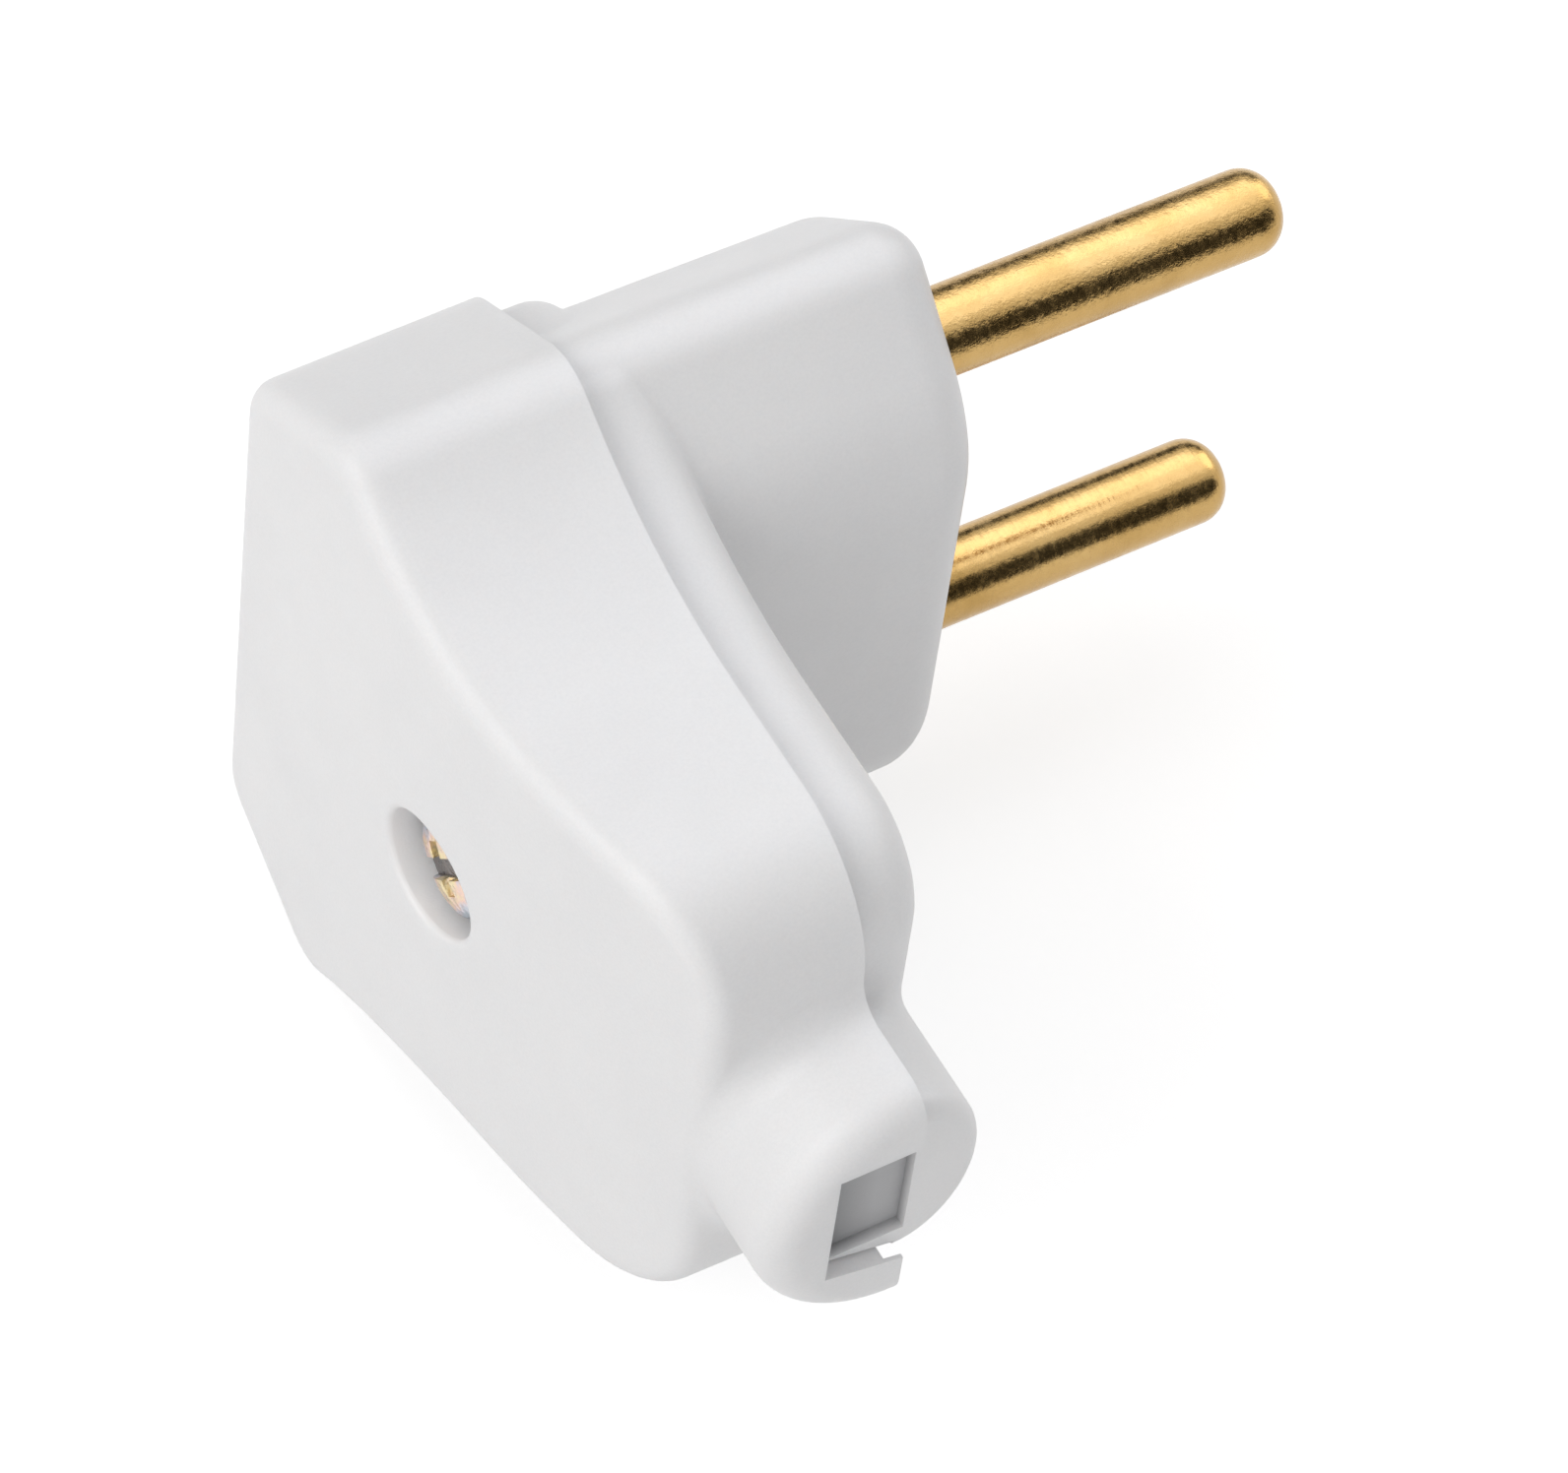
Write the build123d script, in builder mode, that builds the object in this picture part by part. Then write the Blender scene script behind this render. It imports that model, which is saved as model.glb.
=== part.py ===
"""Two-pole right-angle mains plug: moulded base and cover, two solid round pins, one cover screw.

Frame: +X along the pins, -Y out of the cord outlet, +Z along the line of the pins.
The origin is the centre of the engagement face, midway between the pins. Millimetres.
"""

import os

from build123d import *

# Pins and their terminal heads
pin_dia = 4.0
pin_spacing = 19.0
pin_length = 18.5
pin_tip_radius = 1.5
pin_collar_dia = 4.6
terminal_dia = 8.0
terminal_flats = 7.0
terminal_length = 9.0
terminal_chamfer = 0.4
wire_hole_dia = 2.8
wire_hole_setback = 4.4

# Hexagonal nose that enters the socket
nose_length = 13.5
nose_half_height = 18.63
nose_half_thickness = 7.4
nose_draft = 0.3
nose_front_radius = 2.3
nose_ridge_radius = 8.5
nose_apex_radius = 2.4
nose_root_radius = 0.5
nose_front_wall = 3.0
nose_wall = 2.0

# Body outline at the cover's rim; reaches run from the pin line, drops from the height of its apexes
end_reach = 7.6
end_drop = 4.9
apex_reach = 0.8
apex_overhang = 0.37
waist_reach = 15.0
side_drop = 4.8
shoulder_reach = 26.8
end_corner_radius = 3.0
apex_corner_radius = 3.0
shoulder_radius = 5.9

# Shells
flange_thickness = 3.7
flange_floor = 1.8
flange_step = 0.9
flange_edge_radius = 2.0
flange_wall = 1.7
cover_depth = 10.7
cover_draft = 0.8
crown_start = 3.0
crown_drop = 3.9
back_edge_radius = 1.2
wall = 2.2
lap_height = 0.7
lap_lip = 1.3

# Cord outlet
cover_outlet_reach = 32.5
cover_neck_half_width = 7.35
cover_neck_drop = 0.55
cover_neck_depth = 6.8
cover_neck_end_radius = 1.6
base_outlet_reach = 31.75
base_neck_half_width = 5.15
base_neck_depth = 3.75
base_neck_end_radius = 0.9
neck_root_radius = 1.6
channel_half_width = 3.65
channel_depth = 3.8
mouth_flare = 0.9
mouth_lead = 2.15
web_thickness = 1.6
panel_setback = 0.55
panel_overlap = 0.3
web_foot = 0.1
grip_rib_height = 1.2
grip_rib_thickness = 1.2
cover_rib_setback = 3.35
base_rib_inset = 0.8
relief_depth = 0.85
relief_length = 4.5
prong_tip_thickness = 0.2
prong_root_thickness = 1.7

# Cover screw
screw_reach = 9.65
screw_dia = 3.0
screw_length = 9.0
screw_head_dia = 4.9
screw_head_height = 2.0
screw_head_radius = 0.7
screw_head_depth = 1.4
screw_slot_width = 0.9
screw_slot_depth = 0.9
screw_cross_span = 2.8
screw_cross_width = 1.0
screw_cross_depth = 1.4
screw_slot_angle = 128
recess_dia = 6.1
recess_rim_radius = 0.3
seat_thickness = 2.0
cover_boss_wall = 1.5
base_boss_dia = 7.0

# Terminal screws
clamp_screw_dia = 3.0
clamp_screw_length = 3.6
clamp_head_dia = 5.0
clamp_head_height = 1.8
clamp_head_gap = 0.3
clamp_slot_width = 0.8
clamp_slot_depth = 0.9

# Ribs inside the shells
barrier_thickness = 1.4
pad_width = 3.0
hold_down_thickness = 1.1
hold_down_width = 3.2
hold_down_inset = 0.2

# Clearances
pin_clearance = 0.05
terminal_clearance = 0.3
flat_clearance = 0.25
lap_clearance = 0.15
channel_clearance = 0.25
web_clearance = 0.1
web_top_gap = 0.3
screw_clearance = 0.2
thread_clearance = 0.05
boss_gap = 0.2
screw_end_gap = 0.3
hold_down_gap = 0.15

# Stations along X
flange_front_x = -nose_length
flange_floor_x = flange_front_x - flange_floor
rim_x = flange_front_x - flange_thickness
back_x = rim_x - cover_depth
channel_floor_x = rim_x - channel_depth
terminal_front_x = -nose_front_wall
terminal_rear_x = terminal_front_x - terminal_length
wire_hole_x = terminal_rear_x + wire_hole_setback
hold_down_x = terminal_rear_x - hold_down_gap
screw_top_x = back_x + screw_head_depth
screw_seat_x = screw_top_x + screw_head_height
screw_end_x = screw_seat_x + screw_length
cover_seat_x = screw_seat_x + seat_thickness
base_boss_x = cover_seat_x + boss_gap

# Worked out from the sizes above
pin_z = pin_spacing / 2
apex_half_width = nose_half_height + apex_overhang
end_half_width = apex_half_width - end_drop
side_half_width = apex_half_width - side_drop
neck_start = shoulder_reach - shoulder_radius
cover_rib_reach = base_outlet_reach - cover_rib_setback
base_rib_reach = shoulder_reach - base_rib_inset
relief_start = cover_outlet_reach - relief_length
mouth_start = base_outlet_reach - web_thickness - mouth_lead
mouth_lower = -channel_half_width - mouth_flare
neck_lower = -cover_neck_half_width - cover_neck_drop
web_half_width = channel_half_width - web_clearance
web_x = channel_floor_x + web_top_gap
crown_run = shoulder_reach - crown_start
crown_radius = (crown_run**2 + crown_drop**2) / (2 * crown_drop)
hold_down_offset = (terminal_dia - hold_down_thickness) / 2 - hold_down_inset
pad_inner = terminal_flats / 2 + flat_clearance
pad_outer = nose_half_thickness - nose_wall / 2
toward_back = (-1, 0, 0)
toward_pins = (1, 0, 0)


def body_outline(inset):
    """Body outline on the rim plane, drawn in by inset from the cover's outer edge."""
    with BuildSketch(Plane.YZ.offset(rim_x)) as outline:
        with BuildLine():
            Polyline(
                (-shoulder_reach, 0),
                (end_reach, 0),
                (end_reach, end_half_width),
                (-apex_reach, apex_half_width),
            )
            TangentArc((-waist_reach, side_half_width), (-apex_reach, apex_half_width), tangent=(1, 0))
            Polyline(
                (-waist_reach, side_half_width),
                (-shoulder_reach, side_half_width),
                (-shoulder_reach, 0),
            )
        make_face()
        mirror(about=Plane.XZ)
        for y, radius in (
            (end_reach, end_corner_radius),
            (-apex_reach, apex_corner_radius),
            (-shoulder_reach, shoulder_radius),
        ):
            fillet(outline.vertices().filter_by_position(Axis.X, y - 0.01, y + 0.01), radius)
        if inset > 0:
            offset(amount=-inset)
    return outline.sketch


def crowned_body(inset):
    """Drafted body behind the rim with its crowned back, drawn in by inset on every side but the rim."""
    with BuildPart() as body:
        add(body_outline(inset))
        extrude(amount=cover_depth, dir=toward_back, taper=cover_draft)
        with BuildSketch(Plane.XY):
            with Locations((back_x + crown_radius, -crown_start)):
                Circle(crown_radius - inset)
            with Locations((back_x + inset, -crown_start)):
                Rectangle(crown_radius, 2 * crown_radius, align=Align.MIN)
        extrude(amount=2 * apex_half_width, both=True, mode=Mode.INTERSECT)
    return body.part


def nose_outline(inset, x):
    """Hexagonal nose section at station x, drawn in by inset."""
    flat_half = nose_half_height - nose_half_thickness
    with BuildSketch(Plane.YZ.offset(x)) as outline:
        with BuildLine():
            Polyline(
                (nose_half_thickness, -flat_half),
                (nose_half_thickness, flat_half),
                (0, nose_half_height),
                (-nose_half_thickness, flat_half),
                (-nose_half_thickness, -flat_half),
                (0, -nose_half_height),
                close=True,
            )
        make_face()
        ridges = outline.vertices().filter_by_position(Axis.Y, -flat_half - 0.01, flat_half + 0.01)
        fillet(ridges, nose_ridge_radius)
        apexes = outline.vertices().filter_by_position(Axis.X, -0.01, 0.01)
        fillet(apexes, nose_apex_radius)
        if inset > 0:
            offset(amount=-inset)
    return outline.sketch


def neck_section(depth, half_width, drop, side):
    """Half ellipse at the root of an outlet neck, on the cover's (-1) or the base's (+1) side of the rim."""
    cut_side = Align.MIN if side < 0 else Align.MAX
    with BuildSketch(Plane.XZ.offset(neck_start)) as section:
        with Locations((rim_x, -drop)):
            Ellipse(depth, half_width)
            Rectangle(depth, 2 * half_width, align=(cut_side, Align.CENTER), mode=Mode.SUBTRACT)
    return section.sketch


def pin(z):
    """Solid pin on the axis at height z, its terminal head drilled for the wire and the clamp screw."""
    with BuildPart() as piece:
        with BuildSketch(Plane.XY.offset(z)) as profile:
            with BuildLine():
                Polyline(
                    (terminal_rear_x, 0),
                    (terminal_rear_x, terminal_dia / 2),
                    (terminal_front_x, terminal_dia / 2),
                    (terminal_front_x, pin_collar_dia / 2),
                    (0, pin_collar_dia / 2),
                    (0, pin_dia / 2),
                    (pin_length, pin_dia / 2),
                    (pin_length, 0),
                    close=True,
                )
            make_face()
            fillet(profile.vertices().group_by(Axis.X)[-1].sort_by(Axis.Y)[-1], pin_tip_radius)
            chamfer(profile.vertices().group_by(Axis.X)[0].sort_by(Axis.Y)[-1], terminal_chamfer)
        revolve(axis=Axis((0, 0, z), (1, 0, 0)))
        with BuildSketch(Plane.YZ.offset(terminal_front_x)):
            with Locations((0, z)):
                Rectangle(2 * terminal_dia, 2 * terminal_dia)
                Rectangle(terminal_flats, 2 * terminal_dia, mode=Mode.SUBTRACT)
        extrude(amount=terminal_length, dir=toward_back, mode=Mode.SUBTRACT)
        with BuildSketch(Plane.XZ):
            with Locations((wire_hole_x, z)):
                Circle(wire_hole_dia / 2)
        extrude(amount=terminal_dia, both=True, mode=Mode.SUBTRACT)
        with BuildSketch(Plane.YZ.offset(wire_hole_x)):
            with Locations((0, z)):
                Circle(clamp_screw_dia / 2 + thread_clearance)
        extrude(amount=wire_hole_setback, dir=toward_back, mode=Mode.SUBTRACT)
    return piece.part


def clamp_screw(z):
    """Slotted clamp screw in the rear of the pin at height z, run in until it stands in the wire hole."""
    under_head_x = terminal_rear_x - clamp_head_gap
    with BuildPart() as piece:
        with BuildSketch(Plane.YZ.offset(under_head_x)):
            with Locations((0, z)):
                Circle(clamp_head_dia / 2)
        extrude(amount=clamp_head_height, dir=toward_back)
        fillet(piece.faces().sort_by(Axis.X)[0].edges(), clamp_head_height / 4)
        with BuildSketch(Plane.YZ.offset(under_head_x)):
            with Locations((0, z)):
                Circle(clamp_screw_dia / 2)
        extrude(amount=clamp_screw_length, dir=toward_pins)
        chamfer(piece.faces().sort_by(Axis.X)[-1].edges(), clamp_screw_dia / 8)
        with BuildSketch(Plane.YZ.offset(under_head_x - clamp_head_height)):
            with Locations((0, z)):
                Rectangle(clamp_slot_width, 2 * clamp_head_dia)
        extrude(amount=clamp_slot_depth, dir=toward_pins, mode=Mode.SUBTRACT)
    return piece.part


# Cover: crowned shell with the rear half of the outlet neck
cover_shell = crowned_body(0)
cover_hollow = crowned_body(wall)
with BuildPart() as cover:
    add(cover_shell)
    fillet(cover.faces().sort_by(Axis.X)[0].edges(), back_edge_radius)
    add(neck_section(cover_neck_depth, cover_neck_half_width, cover_neck_drop, -1))
    extrude(amount=cover_outlet_reach - neck_start, dir=(0, -1, 0))
    neck_edges = cover.edges(Select.NEW).filter_by(GeomType.LINE, reverse=True)
    fillet(neck_edges.filter_by_position(Axis.Y, 0.5 - cover_outlet_reach, -neck_start), neck_root_radius)
    fillet(cover.edges().group_by(Axis.Y)[0].filter_by(GeomType.LINE, reverse=True), cover_neck_end_radius)
    # hollow, lap rebate and cord channel
    add(cover_hollow, mode=Mode.SUBTRACT)
    add(body_outline(lap_lip))
    extrude(amount=lap_height, dir=toward_back, mode=Mode.SUBTRACT)
    with BuildSketch(Plane.XZ.offset(neck_start)):
        with Locations((rim_x, 0)):
            Rectangle(2 * channel_depth, 2 * channel_half_width)
    extrude(amount=cover_outlet_reach - neck_start, mode=Mode.SUBTRACT)
    # lower wall of the mouth, flared towards the rim
    with BuildSketch(Plane.XZ.offset(mouth_start)):
        with BuildLine():
            Polyline(
                (channel_floor_x, 0),
                (channel_floor_x, -channel_half_width),
                (rim_x, mouth_lower),
                (rim_x, 0),
                close=True,
            )
        make_face()
    extrude(amount=cover_outlet_reach - mouth_start, mode=Mode.SUBTRACT)
    # relief in the lower neck wall, with a raked prong left standing beside the mouth
    with BuildSketch(Plane.YZ.offset(rim_x)):
        with BuildLine():
            Polyline(
                (-relief_start, 0),
                (prong_tip_thickness - cover_outlet_reach, 0),
                (prong_tip_thickness - cover_outlet_reach, mouth_lower),
                (prong_root_thickness - cover_outlet_reach, neck_lower),
                (-relief_start, neck_lower),
                close=True,
            )
        make_face()
    extrude(amount=relief_depth, dir=toward_back, mode=Mode.SUBTRACT)
    # grip rib across the channel
    with BuildSketch(Plane.XZ.offset(cover_rib_reach - grip_rib_thickness / 2)):
        with Locations((channel_floor_x, 0)):
            Rectangle(2 * grip_rib_height, 2 * channel_half_width)
    extrude(amount=grip_rib_thickness)
    # screw boss, recess, seat and hole
    with BuildSketch(Plane.YZ.offset(cover_seat_x)):
        with Locations((-screw_reach, 0)):
            Circle(recess_dia / 2 + cover_boss_wall)
    extrude(amount=cover_seat_x - back_x - wall / 2, dir=toward_back)
    with BuildSketch(Plane.YZ.offset(screw_seat_x)):
        with Locations((-screw_reach, 0)):
            Circle(recess_dia / 2)
    extrude(amount=screw_seat_x - back_x + wall, dir=toward_back, mode=Mode.SUBTRACT)
    fillet(cover.edges(Select.NEW).sort_by(Axis.X)[0], recess_rim_radius)
    with BuildSketch(Plane.YZ.offset(cover_seat_x)):
        with Locations((-screw_reach, 0)):
            Circle(screw_dia / 2 + screw_clearance)
    extrude(amount=2 * seat_thickness, dir=toward_back, mode=Mode.SUBTRACT)
    # ribs that hold the terminal heads down, a pair to each pin
    with BuildSketch(Plane.YZ.offset(hold_down_x)):
        with Locations((0, pin_z), (0, -pin_z)):
            with GridLocations(0, 2 * hold_down_offset, 1, 2):
                Rectangle(hold_down_width, hold_down_thickness)
    extrude(amount=hold_down_x - back_x - wall / 2, dir=toward_back)

# Base: flange, front half of the neck and the hexagonal nose
with BuildPart() as base:
    add(body_outline(flange_step))
    extrude(amount=flange_thickness, dir=toward_pins)
    fillet(base.faces().sort_by(Axis.X)[-1].edges(), flange_edge_radius)
    add(neck_section(base_neck_depth, base_neck_half_width, 0, 1))
    extrude(amount=base_outlet_reach - neck_start, dir=(0, -1, 0))
    neck_edges = base.edges(Select.NEW).filter_by(GeomType.LINE, reverse=True)
    fillet(neck_edges.filter_by_position(Axis.Y, 0.5 - base_outlet_reach, -neck_start), neck_root_radius)
    fillet(base.edges().group_by(Axis.Y)[0].filter_by(GeomType.LINE, reverse=True), base_neck_end_radius)
    add(nose_outline(0, 0))
    extrude(amount=nose_length + flange_thickness, dir=toward_back, taper=-nose_draft)
    nose_edges = base.edges(Select.NEW).filter_by_position(Axis.X, rim_x + 0.5, flange_front_x + 0.1)
    fillet(nose_edges, nose_root_radius)
    fillet(base.faces().sort_by(Axis.X)[-1].edges(), nose_front_radius)
    # lap ring that stands inside the cover's rebate, open at the cord channel
    add(body_outline(lap_lip + lap_clearance))
    extrude(amount=lap_height - lap_clearance, dir=toward_back)
    add(body_outline(wall))
    extrude(amount=lap_height, dir=toward_back, mode=Mode.SUBTRACT)
    with BuildSketch(Plane.XZ.offset(neck_start)):
        with Locations((rim_x, 0)):
            Rectangle(lap_height, 2 * channel_half_width, align=(Align.MAX, Align.CENTER))
    extrude(amount=base_outlet_reach - neck_start, mode=Mode.SUBTRACT)
    # wiring chamber in the flange and terminal chamber in the nose
    add(body_outline(flange_step + flange_wall))
    extrude(amount=flange_thickness - flange_floor, dir=toward_pins, mode=Mode.SUBTRACT)
    add(nose_outline(nose_wall, terminal_front_x))
    extrude(amount=terminal_front_x - rim_x, dir=toward_back, mode=Mode.SUBTRACT)
    with BuildSketch(Plane.YZ.offset(terminal_front_x)):
        with Locations((0, pin_z), (0, -pin_z)):
            Circle(terminal_dia / 2 + terminal_clearance)
    extrude(amount=terminal_front_x - rim_x, dir=toward_back, mode=Mode.SUBTRACT)
    # barrier between the poles and pads that keep the terminal heads from turning
    with BuildSketch(Plane.YZ.offset(terminal_front_x)):
        Rectangle(2 * pad_outer, barrier_thickness)
    extrude(amount=terminal_front_x - rim_x, dir=toward_back)
    with BuildSketch(Plane.YZ.offset(terminal_front_x)):
        with Locations((0, pin_z), (0, -pin_z)):
            with GridLocations(pad_inner + pad_outer, 0, 2, 1):
                Rectangle(pad_outer - pad_inner, pad_width)
    extrude(amount=terminal_length, dir=toward_back)
    # pin holes
    with BuildSketch(Plane.YZ):
        with Locations((0, pin_z), (0, -pin_z)):
            Circle(pin_collar_dia / 2 + pin_clearance)
    extrude(amount=nose_front_wall, dir=toward_back, mode=Mode.SUBTRACT)
    # screw boss
    with BuildSketch(Plane.YZ.offset(base_boss_x)):
        with Locations((-screw_reach, 0)):
            Circle(base_boss_dia / 2)
    extrude(amount=flange_floor_x - base_boss_x, dir=toward_pins)
    with BuildSketch(Plane.YZ.offset(base_boss_x)):
        with Locations((-screw_reach, 0)):
            Circle(screw_dia / 2 + thread_clearance)
    extrude(amount=screw_end_x + screw_end_gap - base_boss_x, dir=toward_pins, mode=Mode.SUBTRACT)
    # grip rib, and the web that closes the mouth until a cord is fitted: a panel set back above its foot
    with BuildSketch(Plane.XZ.offset(base_rib_reach - grip_rib_thickness / 2)):
        with Locations((rim_x, 0)):
            Rectangle(2 * grip_rib_height, 2 * (channel_half_width - channel_clearance))
    extrude(amount=grip_rib_thickness)
    with BuildSketch(Plane.XZ.offset(base_outlet_reach - web_thickness)):
        with BuildLine():
            Polyline(
                (rim_x + panel_overlap, web_half_width),
                (web_x, web_half_width),
                (web_x, -web_half_width),
                (rim_x + panel_overlap, mouth_lower + web_clearance),
                close=True,
            )
        make_face()
    extrude(amount=web_thickness)
    with BuildSketch(Plane.XZ.offset(base_outlet_reach - panel_setback)):
        with Locations((web_x, web_foot - web_half_width)):
            Rectangle(rim_x + panel_overlap - web_x, 2 * web_half_width - web_foot, align=Align.MIN)
    extrude(amount=panel_setback, mode=Mode.SUBTRACT)

with BuildPart() as cover_screw:
    with BuildSketch(Plane.YZ.offset(screw_seat_x)):
        with Locations((-screw_reach, 0)):
            Circle(screw_head_dia / 2)
    extrude(amount=screw_head_height, dir=toward_back)
    fillet(cover_screw.faces().sort_by(Axis.X)[0].edges(), screw_head_radius)
    with BuildSketch(Plane.YZ.offset(screw_seat_x)):
        with Locations((-screw_reach, 0)):
            Circle(screw_dia / 2)
    extrude(amount=screw_length, dir=toward_pins)
    chamfer(cover_screw.faces().sort_by(Axis.X)[-1].edges(), screw_dia / 6)
    # combination slot and cross recess
    with BuildSketch(Plane.YZ.offset(screw_top_x)):
        with Locations(Location((-screw_reach, 0), screw_slot_angle)):
            Rectangle(2 * screw_head_dia, screw_slot_width)
    extrude(amount=screw_slot_depth, dir=toward_pins, mode=Mode.SUBTRACT)
    with BuildSketch(Plane.YZ.offset(screw_top_x)):
        with Locations(Location((-screw_reach, 0), screw_slot_angle)):
            Rectangle(screw_cross_span, screw_cross_width)
            Rectangle(screw_cross_width, screw_cross_span)
    extrude(amount=screw_cross_depth, dir=toward_pins, mode=Mode.SUBTRACT)

pieces = {
    "base": base.part,
    "cover": cover.part,
    "cover_screw": cover_screw.part,
    "pin_upper": pin(pin_z),
    "pin_lower": pin(-pin_z),
    "terminal_screw_upper": clamp_screw(pin_z),
    "terminal_screw_lower": clamp_screw(-pin_z),
}
os.makedirs("parts", exist_ok=True)
for name, piece in pieces.items():
    piece.label = name
    export_step(piece, f"parts/{name}.step")
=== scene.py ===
"""Looks of the angled plug: satin white housing, brass pins and plated screws on a pale studio floor.

Lengths are in metres in the part's frame: X along the pins, -Y to the cord outlet, Z from pin to pin.
"""

import math

import bmesh
import bpy
from mathutils import Matrix, Vector


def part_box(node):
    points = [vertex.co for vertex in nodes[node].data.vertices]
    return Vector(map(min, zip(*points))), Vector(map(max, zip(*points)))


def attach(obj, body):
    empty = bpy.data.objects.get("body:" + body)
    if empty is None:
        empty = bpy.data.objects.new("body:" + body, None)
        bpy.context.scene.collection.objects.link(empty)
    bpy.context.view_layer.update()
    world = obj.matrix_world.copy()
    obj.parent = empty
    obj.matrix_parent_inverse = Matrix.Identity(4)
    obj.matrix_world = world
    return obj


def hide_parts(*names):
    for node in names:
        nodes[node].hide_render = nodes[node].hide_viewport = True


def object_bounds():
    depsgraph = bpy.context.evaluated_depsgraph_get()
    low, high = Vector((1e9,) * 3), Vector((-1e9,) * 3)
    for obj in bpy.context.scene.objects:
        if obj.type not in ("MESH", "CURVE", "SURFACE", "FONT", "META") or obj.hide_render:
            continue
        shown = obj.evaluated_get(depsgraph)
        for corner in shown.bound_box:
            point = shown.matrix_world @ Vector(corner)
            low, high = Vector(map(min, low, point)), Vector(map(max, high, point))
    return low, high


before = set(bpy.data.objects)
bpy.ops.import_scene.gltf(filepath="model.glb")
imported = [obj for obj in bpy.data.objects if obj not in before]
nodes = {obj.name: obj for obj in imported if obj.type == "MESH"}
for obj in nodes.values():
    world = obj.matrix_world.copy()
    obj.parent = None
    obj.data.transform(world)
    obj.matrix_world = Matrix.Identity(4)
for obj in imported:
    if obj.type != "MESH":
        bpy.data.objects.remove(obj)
cad_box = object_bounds()
scene = bpy.context.scene
scene.view_settings.view_transform = "Standard"

MM = 0.001

# painted shade on the thin web across the cord mouth and the ledge before it: its extent, how softly the
# shade fades out, and where it turns from darkest at the left to lighter
WEB_X = (-21.5 * MM, -16.9 * MM)
WEB_Y = (-31.25 * MM, -30.0 * MM)
WEB_Z = (-3.4 * MM, 3.5 * MM)
WEB_SOFT_X, WEB_SOFT_Y, WEB_SOFT_Z = 0.4 * MM, 0.45 * MM, 0.8 * MM
WEB_SHADE_LIFT_X = (-20.6 * MM, -18.2 * MM)

# the recess round the cover screw, whose wall gets painted light: a lighter tone
RECESS_RADIUS, RECESS_REACH = 3.10 * MM, 3.25 * MM
RECESS_X = (-27.6 * MM, -24.0 * MM)
RECESS_SOFT = 0.2 * MM

# the crowned cover screw; its crown is given as depth below the top and radius, in millimetres
CROWN_RISE = 0.4 * MM
CROWN = ((0.75, 2.45), (0.52, 2.4), (0.35, 2.25), (0.2, 1.9), (0.09, 1.3), (0.02, 0.6), (0.0, 0.0))
HEAD_RADIUS, HEAD_HEIGHT = 2.45 * MM, 2.0 * MM
SHANK_RADIUS, TIP_RADIUS, TIP_CHAMFER = 1.5 * MM, 1.0 * MM, 0.5 * MM
SLOT_TURN = math.radians(130)
SLOT_LENGTH, SLOT_WIDTH, SLOT_DEPTH = 6.0 * MM, 1.0 * MM, 0.65 * MM
CROSS_SPAN, CROSS_WIDTH, CROSS_DEPTH = 2.5 * MM, 0.8 * MM, 0.4 * MM
CUT_ABOVE_SLOT, CUT_ABOVE_CROSS = 0.35 * MM, 0.5 * MM
EASED_EDGE = 0.09 * MM
SHARP_CUT, SHARP_SHADE = math.radians(40), math.radians(50)

# the plating's colours run out to this radius, and painted shade darkens them between these depths below the
# top of the head
PLATING_RADIUS = 2.5 * MM
SHADE_DEPTH_FROM, SHADE_DEPTH_TO = 0.35 * MM, 0.65 * MM

# the photograph's camera
IMAGE_WIDTH = 1592.0
FOCAL_PIXELS = 8014.798
SENSOR_WIDTH = 36.0
EYE = Vector((-127.48489, -169.42443, 269.79068)) * MM
RIGHT = Vector((0.8670963, -0.4906985, 0.0857841))
DOWN = Vector((-0.3548895, -0.7293619, -0.5848800))
AHEAD = Vector((0.3495674, 0.4767035, -0.8065708))

FLOOR_HALF = 3.0
LAMP_COLOUR = (1.0, 0.992, 0.986)
LAMP_TARGET = (-0.005, -0.008, 0.0)


def screw_place(name):
    """Axis of a screw node as (y, z), the place of its head's top along X, and that of its tip."""
    low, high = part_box(name)
    return ((low[1] + high[1]) / 2, (low[2] + high[2]) / 2), low[0], high[0]


screw_axis, screw_top, screw_tip = screw_place("cover_screw")


def new_object(name, data):
    made = bpy.data.objects.new(name, data)
    scene.collection.objects.link(made)
    return made


def bare_material(name):
    """Empty node material; returns it with its tree and its output node."""
    mat = bpy.data.materials.new(name)
    mat.use_nodes = True
    tree = mat.node_tree
    tree.nodes.clear()
    return mat, tree, tree.nodes.new("ShaderNodeOutputMaterial")


def new_material(name):
    """Node material with a Principled shader wired to its output; returns it with its tree and the shader."""
    mat, tree, out = bare_material(name)
    bsdf = tree.nodes.new("ShaderNodeBsdfPrincipled")
    tree.links.new(bsdf.outputs["BSDF"], out.inputs["Surface"])
    return mat, tree, bsdf


def set_inputs(target, **inputs):
    """Sets a node's input sockets; underscores in their names stand for spaces."""
    for key, value in inputs.items():
        target.inputs[key.replace("_", " ")].default_value = value


def node(tree, kind, **inputs):
    made = tree.nodes.new(kind)
    set_inputs(made, **inputs)
    return made


def feed(tree, socket, value):
    """Links a socket to an output, or sets it where the value is a constant."""
    if isinstance(value, (int, float, tuple)):
        socket.default_value = value
    else:
        tree.links.new(value, socket)


def noise(tree, vector, scale, detail, roughness):
    made = node(tree, "ShaderNodeTexNoise", Scale=scale, Detail=detail, Roughness=roughness)
    tree.links.new(vector, made.inputs["Vector"])
    return made.outputs["Fac"]


def ramp(tree, value, *stops):
    """Colour ramp through (position, colour) stops."""
    made = tree.nodes.new("ShaderNodeValToRGB")
    band = made.color_ramp
    while len(band.elements) < len(stops):
        band.elements.new(0.5)
    for element, (place, colour) in zip(band.elements, stops):
        element.position = place
        element.color = (*colour, 1.0)
    tree.links.new(value, made.inputs["Fac"])
    return made.outputs["Color"]


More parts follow.
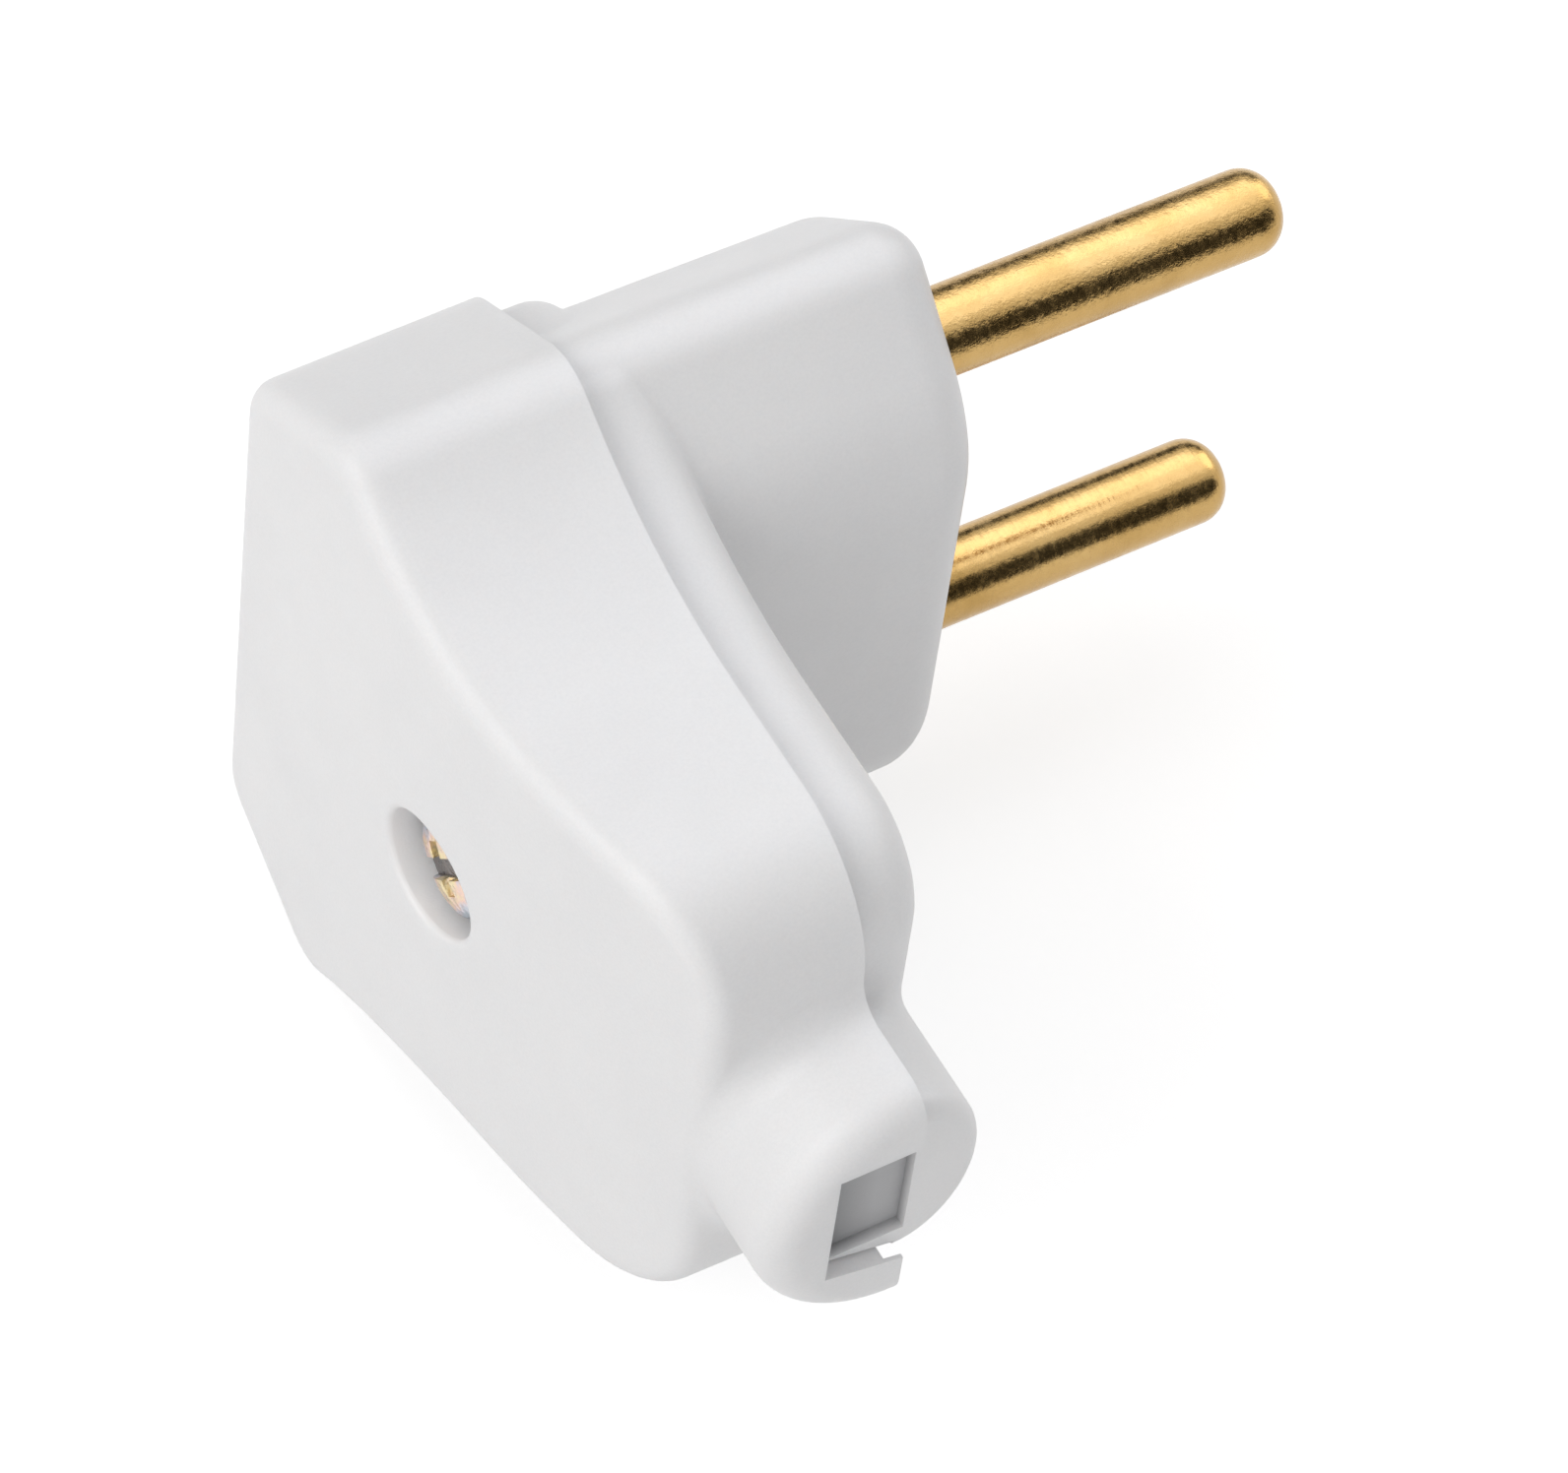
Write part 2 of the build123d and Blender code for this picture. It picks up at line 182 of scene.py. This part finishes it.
def spread(tree, value, low, high, start=0.3, end=0.7):
    """Maps a value from start..end, by default a noise's usual range, to low..high."""
    made = node(tree, "ShaderNodeMapRange", From_Min=start, From_Max=end, To_Min=low, To_Max=high)
    tree.links.new(value, made.inputs["Value"])
    return made.outputs["Result"]


def combine(tree, operation, first, second):
    """Math node on two values."""
    made = tree.nodes.new("ShaderNodeMath")
    made.operation = operation
    feed(tree, made.inputs[0], first)
    feed(tree, made.inputs[1], second)
    return made.outputs["Value"]


def blend(tree, kind, factor, first, second):
    """Mixes the second colour, or its product with the first, into the first by factor."""
    made = tree.nodes.new("ShaderNodeMix")
    made.data_type = "RGBA"
    made.blend_type = kind
    sockets = {socket.identifier: socket for socket in made.inputs}
    feed(tree, sockets["Factor_Float"], factor)
    feed(tree, sockets["A_Color"], first)
    feed(tree, sockets["B_Color"], second)
    return {socket.identifier: socket for socket in made.outputs}["Result_Color"]


def bump(tree, height, strength, distance, under=None):
    """Bump of a height texture, laid over another bump where there is one under it."""
    made = node(tree, "ShaderNodeBump", Strength=strength, Distance=distance)
    tree.links.new(height, made.inputs["Height"])
    if under is not None:
        tree.links.new(under, made.inputs["Normal"])
    return made.outputs["Normal"]


def position(tree, scale=(1.0, 1.0, 1.0), offset=(0.0, 0.0, 0.0)):
    """Point on the object in the part's frame, stretched by scale and then moved by offset."""
    coords = tree.nodes.new("ShaderNodeTexCoord")
    place = node(tree, "ShaderNodeMapping", Location=offset, Scale=scale)
    tree.links.new(coords.outputs["Object"], place.inputs["Vector"])
    return place.outputs["Vector"]


def split(tree, vector):
    """The vector's X, Y and Z outputs."""
    made = tree.nodes.new("ShaderNodeSeparateXYZ")
    tree.links.new(vector, made.inputs["Vector"])
    return made.outputs


def window(tree, value, ends, soft):
    """One between the two ends, falling to nothing over the soft width outside them."""
    low, high = ends
    rise = spread(tree, value, 0.0, 1.0, start=low - soft, end=low)
    fall = spread(tree, value, 1.0, 0.0, start=high, end=high + soft)
    return combine(tree, "MULTIPLY", rise, fall)


def from_axis(tree, axis):
    """Distance from the line along X through axis (y, z)."""
    aside = position(tree, scale=(0.0, 1.0, 1.0), offset=(0.0, -axis[0], -axis[1]))
    length = tree.nodes.new("ShaderNodeVectorMath")
    length.operation = "LENGTH"
    tree.links.new(aside, length.inputs[0])
    return length.outputs["Value"]


def seen_straight(tree):
    """One for rays from the camera, off gloss or through glass, and nothing for the rest."""
    path = tree.nodes.new("ShaderNodeLightPath").outputs
    direct = combine(tree, "MAXIMUM", path["Is Camera Ray"], path["Is Glossy Ray"])
    return combine(tree, "MAXIMUM", direct, path["Is Transmission Ray"])


def pick_shader(tree, factor, first, second):
    made = tree.nodes.new("ShaderNodeMixShader")
    tree.links.new(factor, made.inputs["Fac"])
    tree.links.new(first, made.inputs[1])
    tree.links.new(second, made.inputs[2])
    return made.outputs[0]


def housing_plastic():
    """White moulded plastic: faint clouds and flecks, fine grain, painted light on the screw recess's wall
    and painted shade on the web in the cord mouth.
    """
    mat, tree, bsdf = new_material("housing_plastic")
    point = position(tree)
    place = split(tree, point)

    cloud = noise(tree, point, scale=90.0, detail=4.0, roughness=0.55)
    tone = ramp(tree, cloud, (0.3, (0.862, 0.859, 0.861)), (0.7, (0.898, 0.893, 0.891)))
    specks = noise(tree, point, scale=7500.0, detail=2.0, roughness=0.6)
    fleck = ramp(tree, specks, (0.3, (0.968, 0.969, 0.972)), (0.65, (1.0, 1.0, 1.0)))
    tone = blend(tree, "MULTIPLY", 1.0, tone, fleck)

    # painted light: the wall of the screw recess gets a lighter tone, standing in for light that reaches into
    # it
    near = spread(tree, from_axis(tree, screw_axis), 1.0, 0.0, start=RECESS_RADIUS, end=RECESS_REACH)
    recess = combine(tree, "MULTIPLY", near, window(tree, place["X"], RECESS_X, RECESS_SOFT))
    tone = blend(tree, "MIX", recess, tone, (0.955, 0.953, 0.952, 1.0))

    # painted shade: the web and the ledge before it are darkened where shade falls inside the cord mouth,
    # darkest at the left
    across = window(tree, place["X"], WEB_X, WEB_SOFT_X)
    deep = window(tree, place["Y"], WEB_Y, WEB_SOFT_Y)
    level = window(tree, place["Z"], WEB_Z, WEB_SOFT_Z)
    web = combine(tree, "MULTIPLY", combine(tree, "MULTIPLY", across, deep), level)
    shade_lift = spread(tree, place["X"], 0.0, 1.0, start=WEB_SHADE_LIFT_X[0], end=WEB_SHADE_LIFT_X[1])
    grey = ramp(tree, shade_lift, (0.0, (0.28, 0.284, 0.292)), (1.0, (0.56, 0.564, 0.572)))
    tree.links.new(blend(tree, "MULTIPLY", web, tone, grey), bsdf.inputs["Base Color"])

    patch = noise(tree, point, scale=420.0, detail=3.0, roughness=0.5)
    tree.links.new(spread(tree, patch, 0.36, 0.46), bsdf.inputs["Roughness"])
    ripple = noise(tree, point, scale=160.0, detail=2.0, roughness=0.5)
    grain = noise(tree, point, scale=5200.0, detail=2.0, roughness=0.6)
    waves = bump(tree, ripple, strength=0.05, distance=0.6 * MM)
    fine = bump(tree, grain, strength=0.22, distance=0.05 * MM, under=waves)
    tree.links.new(fine, bsdf.inputs["Normal"])
    set_inputs(bsdf, IOR=1.5, Specular_IOR_Level=0.42)
    set_inputs(bsdf, Subsurface_Weight=0.35, Subsurface_Radius=(1.0, 0.9, 0.85), Subsurface_Scale=1.2 * MM)
    return mat


def pin_brass(name, seed, pits, marks):
    """Drawn brass: streaks along the pin, and pits and turned marks across it of the given strengths."""
    mat, tree, bsdf = new_material(name)
    shift = (seed, 0.0, 0.0)
    point = position(tree, offset=shift)
    along = position(tree, scale=(0.05, 1.0, 1.0), offset=shift)
    across = position(tree, scale=(1.0, 0.08, 0.08), offset=shift)

    tarnish = noise(tree, point, scale=260.0, detail=4.0, roughness=0.6)
    dark, middle, light = (0.45, 0.278, 0.090), (0.55, 0.352, 0.129), (0.612, 0.409, 0.164)
    tone = ramp(tree, tarnish, (0.28, dark), (0.5, middle), (0.72, light))
    tree.links.new(tone, bsdf.inputs["Base Color"])

    streaks = noise(tree, along, scale=5200.0, detail=4.0, roughness=0.65)
    specks = noise(tree, point, scale=3600.0, detail=3.0, roughness=0.7)
    rings = noise(tree, across, scale=2600.0, detail=3.0, roughness=0.6)
    rough = combine(tree, "ADD", spread(tree, specks, 0.10, 0.28), spread(tree, rings, 0.0, 0.08))
    tree.links.new(rough, bsdf.inputs["Roughness"])
    drawn = bump(tree, streaks, strength=0.10, distance=0.04 * MM)
    turned_marks = bump(tree, rings, strength=marks, distance=0.04 * MM, under=drawn)
    pitted = bump(tree, specks, strength=pits, distance=0.05 * MM, under=turned_marks)
    tree.links.new(pitted, bsdf.inputs["Normal"])
    set_inputs(bsdf, Metallic=1.0)
    return mat


def plated_screw(name, top, axis):
    """Yellow-passivated zinc: gold in the middle of the head, pink and blue-grey at its rim, painted shade in
    the slot and below the head's top.
    """
    mat, tree, bsdf = new_material(name)
    point = position(tree)

    radius = combine(tree, "MULTIPLY", from_axis(tree, axis), 1.0 / PLATING_RADIUS)
    wander = spread(tree, noise(tree, point, scale=900.0, detail=3.0, roughness=0.6), -0.28, 0.28)
    tone = ramp(
        tree,
        combine(tree, "ADD", radius, wander),
        (0.10, (0.72, 0.58, 0.30)),
        (0.40, (0.80, 0.68, 0.42)),
        (0.62, (0.82, 0.60, 0.50)),
        (0.80, (0.66, 0.62, 0.66)),
        (0.98, (0.46, 0.52, 0.58)),
    )
    # painted shade: the slot, the cross arms and the head's side below the crown are darkened, more the
    # deeper they lie below the top
    depth_shade = spread(tree, split(tree, point)["X"], 0.0, 1.0, start=top + SHADE_DEPTH_FROM, end=top + SHADE_DEPTH_TO)
    tone = blend(tree, "MIX", depth_shade, tone, (0.25, 0.225, 0.215, 1.0))
    tree.links.new(tone, bsdf.inputs["Base Color"])

    specks = noise(tree, point, scale=4200.0, detail=3.0, roughness=0.65)
    crinkle = noise(tree, point, scale=1400.0, detail=2.0, roughness=0.55)
    tree.links.new(spread(tree, specks, 0.24, 0.46), bsdf.inputs["Roughness"])
    coarse = bump(tree, crinkle, strength=0.8, distance=0.3 * MM)
    fine = bump(tree, specks, strength=0.30, distance=0.04 * MM, under=coarse)
    tree.links.new(fine, bsdf.inputs["Normal"])
    set_inputs(bsdf, Metallic=1.0)
    return mat


def dress(name, material):
    target = nodes[name]
    target.data.materials.clear()
    target.data.materials.append(material)


def turned(name, axis, profile, steps=72):
    """New object of a profile of (x, radius) points turned about the line along X through axis (y, z)."""
    form = bmesh.new()
    spots = [form.verts.new((x, axis[0] + radius, axis[1])) for x, radius in profile]
    edges = [form.edges.new(pair) for pair in zip(spots, spots[1:])]
    bmesh.ops.spin(
        form,
        geom=spots + edges,
        axis=(1.0, 0.0, 0.0),
        cent=(0.0, *axis),
        angle=2 * math.pi,
        steps=steps,
        use_merge=True,
    )
    bmesh.ops.remove_doubles(form, verts=form.verts, dist=0.001 * MM)
    bmesh.ops.recalc_face_normals(form, faces=form.faces)
    mesh = bpy.data.meshes.new(name)
    form.to_mesh(mesh)
    form.free()
    return new_object(name, mesh)


def bar(top, axis, above, depth, along, across):
    """Cutting box from above the top of a head to a depth in it, sized along and across the slot."""
    centre = (top + (depth - above) / 2, *axis)
    size = (depth + above, along, across, 1.0)
    place = Matrix.Translation(centre) @ Matrix.Rotation(SLOT_TURN, 4, "X") @ Matrix.Diagonal(size)
    form = bmesh.new()
    bmesh.ops.create_cube(form, size=1.0, matrix=place)
    mesh = bpy.data.meshes.new("cutter")
    form.to_mesh(mesh)
    form.free()
    return new_object("cutter", mesh)


def carve(piece, cutters):
    """Cuts the cutters out of a piece, eases its sharp edges and removes the cutters."""
    for cutter in cutters:
        cut = piece.modifiers.new("cut", "BOOLEAN")
        cut.operation = "DIFFERENCE"
        cut.object = cutter
    ease = piece.modifiers.new("ease", "BEVEL")
    ease.width = EASED_EDGE
    ease.segments = 2
    ease.limit_method = "ANGLE"
    ease.angle_limit = SHARP_CUT
    graph = bpy.context.evaluated_depsgraph_get()
    made = bpy.data.meshes.new_from_object(piece.evaluated_get(graph))
    piece.modifiers.clear()
    piece.data = made
    for cutter in cutters:
        bpy.data.objects.remove(cutter)
    made.polygons.foreach_set("use_smooth", [True] * len(made.polygons))
    made.set_sharp_from_angle(angle=SHARP_SHADE)


def crowned_screw():
    """Cover screw with a crowned head, a slot across it and short cross arms, in place of the flat one."""
    top = screw_top - CROWN_RISE
    seat = screw_top + HEAD_HEIGHT
    profile = [
        (screw_tip, 0.0),
        (screw_tip, TIP_RADIUS),
        (screw_tip - TIP_CHAMFER, SHANK_RADIUS),
        (seat, SHANK_RADIUS),
        (seat, HEAD_RADIUS),
    ]
    profile += [(top + depth * MM, radius * MM) for depth, radius in CROWN]
    screw = turned("cover_screw_crowned", screw_axis, profile)
    slot = bar(top, screw_axis, CUT_ABOVE_SLOT, SLOT_DEPTH, SLOT_LENGTH, SLOT_WIDTH)
    cross = bar(top, screw_axis, CUT_ABOVE_CROSS, CROSS_DEPTH, CROSS_WIDTH, CROSS_SPAN)
    carve(screw, [slot, cross])
    screw.data.materials.append(plated_screw("plated_cover_screw", top, screw_axis))
    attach(screw, "root")
    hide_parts("cover_screw")


def pale_floor(height):
    """Large pale floor that reads white to the eye and keeps the object's soft shadow."""
    mesh = bpy.data.meshes.new("floor")
    ends = ((-1, -1), (1, -1), (1, 1), (-1, 1))
    mesh.from_pydata([(x * FLOOR_HALF, y * FLOOR_HALF, height) for x, y in ends], [], [(0, 1, 2, 3)])
    mat, tree, out = bare_material("pale_floor")
    diffuse = node(tree, "ShaderNodeBsdfDiffuse", Color=(0.62, 0.62, 0.62, 1.0))
    glow = node(tree, "ShaderNodeEmission", Strength=0.60)
    both = tree.nodes.new("ShaderNodeAddShader")
    tree.links.new(diffuse.outputs[0], both.inputs[0])
    tree.links.new(glow.outputs[0], both.inputs[1])
    shown = pick_shader(tree, seen_straight(tree), diffuse.outputs[0], both.outputs[0])
    tree.links.new(shown, out.inputs["Surface"])
    mesh.materials.append(mat)
    new_object("floor", mesh)


def soft_world(level):
    """Even grey room light that shows as white where it is looked at."""
    world = bpy.data.worlds.new("studio")
    scene.world = world
    world.use_nodes = True
    tree = world.node_tree
    tree.nodes.clear()
    out = tree.nodes.new("ShaderNodeOutputWorld")
    room = node(tree, "ShaderNodeBackground", Color=(0.98, 0.985, 1.0, 1.0), Strength=level)
    white = node(tree, "ShaderNodeBackground", Color=(1.0, 1.0, 1.0, 1.0), Strength=1.0)
    shown = pick_shader(tree, seen_straight(tree), room.outputs[0], white.outputs[0])
    tree.links.new(shown, out.inputs["Surface"])


def aim(thing, target):
    direction = Vector(target) - thing.location
    thing.rotation_euler = direction.to_track_quat("-Z", "Y").to_euler()


def softbox(name, place, size, watts):
    """Rectangular area lamp aimed at the middle of the object."""
    light = bpy.data.lights.new(name, "AREA")
    light.shape = "RECTANGLE"
    light.size, light.size_y = size
    light.energy = watts
    light.color = LAMP_COLOUR
    lamp = new_object(name, light)
    lamp.location = place
    aim(lamp, LAMP_TARGET)


def card(name, place, size, glow, target, colour=(1.0, 1.0, 1.0)):
    """Studio card, dark or lit, that stands out of the picture and only shows in glossy surfaces."""
    mesh = bpy.data.meshes.new(name)
    w, h = size[0] / 2, size[1] / 2
    mesh.from_pydata([(-w, -h, 0), (w, -h, 0), (w, h, 0), (-w, h, 0)], [], [(0, 1, 2, 3)])
    mat, tree, out = bare_material(name)
    light = node(tree, "ShaderNodeEmission", Color=(*colour, 1.0), Strength=glow)
    tree.links.new(light.outputs[0], out.inputs["Surface"])
    mesh.materials.append(mat)
    made = new_object(name, mesh)
    made.location = place
    aim(made, target)
    made.visible_camera = False
    made.visible_diffuse = False
    made.visible_shadow = False


def photo_camera():
    """Camera at the photograph's place, looking the way it did."""
    eye = bpy.data.cameras.new("camera")
    eye.sensor_width = SENSOR_WIDTH
    eye.lens = FOCAL_PIXELS * SENSOR_WIDTH / IMAGE_WIDTH
    eye.clip_start = 0.01
    camera = new_object("camera", eye)
    turn = Matrix((RIGHT, -DOWN, -AHEAD)).transposed().to_4x4()
    camera.matrix_world = Matrix.Translation(EYE) @ turn
    scene.camera = camera


plastic = housing_plastic()
dress("base", plastic)
dress("cover", plastic)
dress("pin_upper", pin_brass("pin_brass_upper", 0.0, pits=0.60, marks=0.16))
dress("pin_lower", pin_brass("pin_brass_lower", 0.137, pits=0.25, marks=0.55))
for name in ("terminal_screw_upper", "terminal_screw_lower"):
    axis, top, _ = screw_place(name)
    dress(name, plated_screw(f"plated_{name}", top, axis))
crowned_screw()

pale_floor(cad_box[0][2])
soft_world(0.415)
softbox("key", place=(-0.52, 0.0, 0.34), size=(0.5, 0.5), watts=1.68)
softbox("top", place=(0.05, 0.25, 0.50), size=(0.55, 0.40), watts=0.50)
softbox("low", place=(-0.24, -0.57, 0.14), size=(0.5, 0.3), watts=0.56)
softbox("fill", place=(0.55, 0.12, 0.34), size=(0.4, 0.4), watts=0.85)
card(
    "card_top",
    place=(0.24, 0.24, 0.56),
    size=(0.5, 0.92),
    glow=2.15,
    target=(0.24, 0.24, 0.0),
    colour=(0.86, 0.89, 1.0),
)
card("card_front", place=(0.12, -0.19, 0.085), size=(0.6, 0.21), glow=0.04, target=(0.12, 0.0, 0.085))
card("card_rear", place=(0.25, 0.70, 0.16), size=(1.1, 0.28), glow=0.04, target=(0.0, 0.0, 0.0))
photo_camera()
